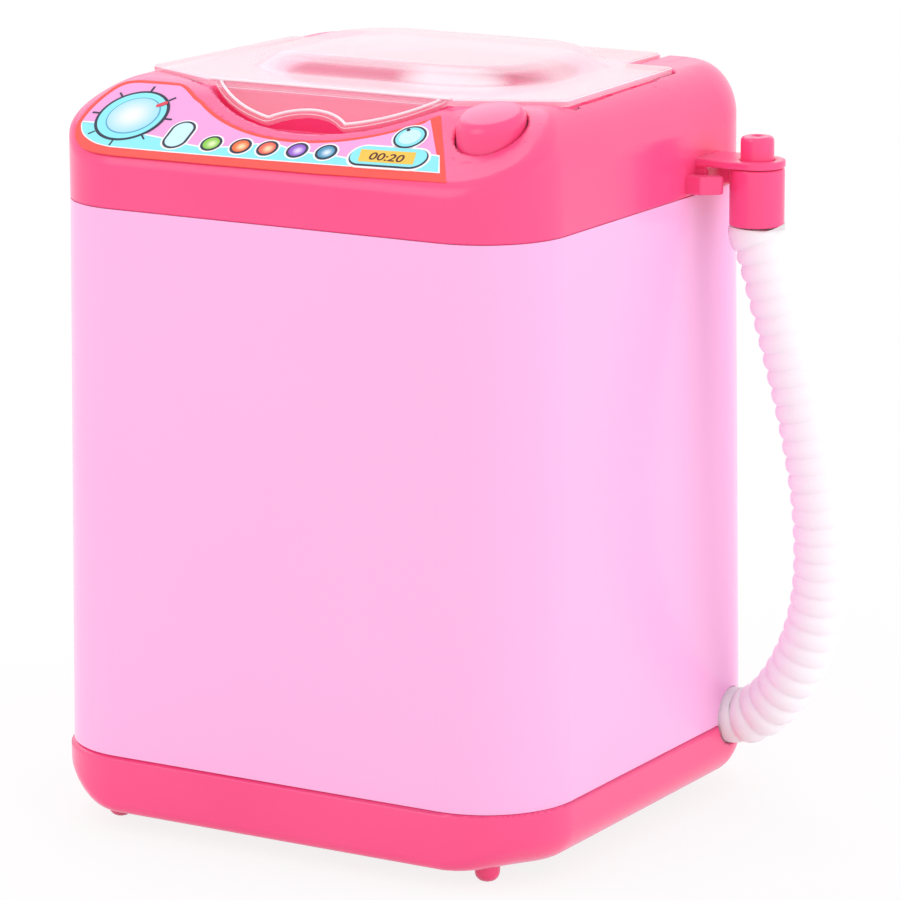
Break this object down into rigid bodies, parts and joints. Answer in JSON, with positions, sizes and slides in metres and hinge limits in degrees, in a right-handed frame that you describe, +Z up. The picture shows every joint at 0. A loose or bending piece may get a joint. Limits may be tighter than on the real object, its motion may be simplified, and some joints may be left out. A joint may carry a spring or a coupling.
{
  "type": "toy washing machine",
  "caption": "Toy top-loading washing machine with a clear hinged lid, turning basket, push button and side drain hose.",
  "frame": {"origin": "on the floor under the middle of the object's box, the drain hose and its nozzle left out", "axes": "+Z up, -Y towards the control panel, +X towards the drain hose"},
  "size_m": [0.1122, 0.083, 0.122],
  "materials": {
    "hot_pink": "glossy injection-moulded ABS",
    "pale_pink": "glossy injection-moulded ABS",
    "clear_lid": "clear moulded polystyrene",
    "label_print": "printed and gloss-laminated film",
    "white_plastic": "glossy moulded plastic",
    "soft_pvc": "soft translucent PVC",
    "black_rubber": "matt moulded rubber",
    "white_rubber": "soft white silicone rubber",
    "zinc_steel": "zinc-plated steel",
    "cell_wrap": "shrink sleeve over a steel can",
    "board": "paper-phenolic board",
    "dark_plastic": "moulded switch housing"
  },
  "bodies": {
    "body": {"base_tray": "hot_pink", "battery_door": "hot_pink", "battery_door_screw": "zinc_steel", "battery_cells": "cell_wrap", "contact_springs": "zinc_steel", "contact_plates": "zinc_steel", "cabinet": "pale_pink", "case_screws": "zinc_steel", "top_cover": "hot_pink", "cover_screws": "zinc_steel", "panel_label": "label_print", "button_spring": "zinc_steel", "push_switch": "dark_plastic", "switch_board": "board", "board_screws": "zinc_steel", "tub": "white_plastic", "tub_gasket": "white_rubber", "tub_screws": "zinc_steel", "shaft_seal": "black_rubber", "motor_can": "zinc_steel", "motor_endcap": "white_plastic", "motor_bracket": "pale_pink", "bracket_screws": "zinc_steel", "drain_pipe": "soft_pvc", "drain_spigot": "white_plastic", "drain_hose": "soft_pvc", "hose_nozzle": "hot_pink"},
    "lid": {"lid": "clear_lid"},
    "button": {"power_button": "hot_pink"},
    "drum": {"wash_basket": "white_plastic", "pulsator": "pale_pink", "drive_hub": "white_plastic", "motor_shaft": "zinc_steel"}
  },
  "joints": [
    {"name": "lid_swing", "type": "hinge", "parent": "body", "child": "lid", "pos_m": [-0.00577, 0.0346, 0.1172], "axis": [-1, 0, 0], "range_deg": [0, 100]},
    {"name": "button_press", "type": "slide", "parent": "body", "child": "button", "axis": [0, 0, -1], "range_m": [0, 0.0015], "stiffness_N_per_m": 400, "springref_m": -0.001, "deforming": ["button_spring"]},
    {"name": "basket_spin", "type": "hinge", "parent": "body", "child": "drum", "pos_m": [-0.00577, 0.0085, 0.0616], "axis": [0, 0, 1], "continuous": true}
  ]
}
